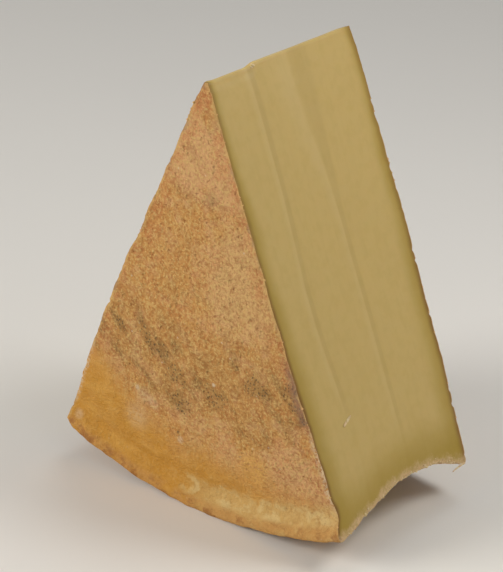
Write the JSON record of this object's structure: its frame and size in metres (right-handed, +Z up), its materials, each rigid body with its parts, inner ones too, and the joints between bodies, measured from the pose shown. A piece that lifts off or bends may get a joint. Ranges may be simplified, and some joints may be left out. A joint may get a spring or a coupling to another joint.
{
  "type": "hard cheese wedge",
  "caption": "Wedge cut from a wheel of hard mountain cheese: rough rind faces front and back, smooth cut sides, standing tip up on the wheel's hollow rim.",
  "frame": {"origin": "under the middle of the wedge's box, on the surface that it stands on", "axes": "+Z up from the rim to the tip, +Y along the wheel's axle from the pictured rind face to the other one, +X across the wedge to its right cut"},
  "size_m": [0.2198, 0.137, 0.281],
  "materials": {
    "cheese": "matt rind, slightly waxy cut faces"
  },
  "bodies": {
    "root": {"cheese_wedge": "cheese"}
  },
  "joints": []
}
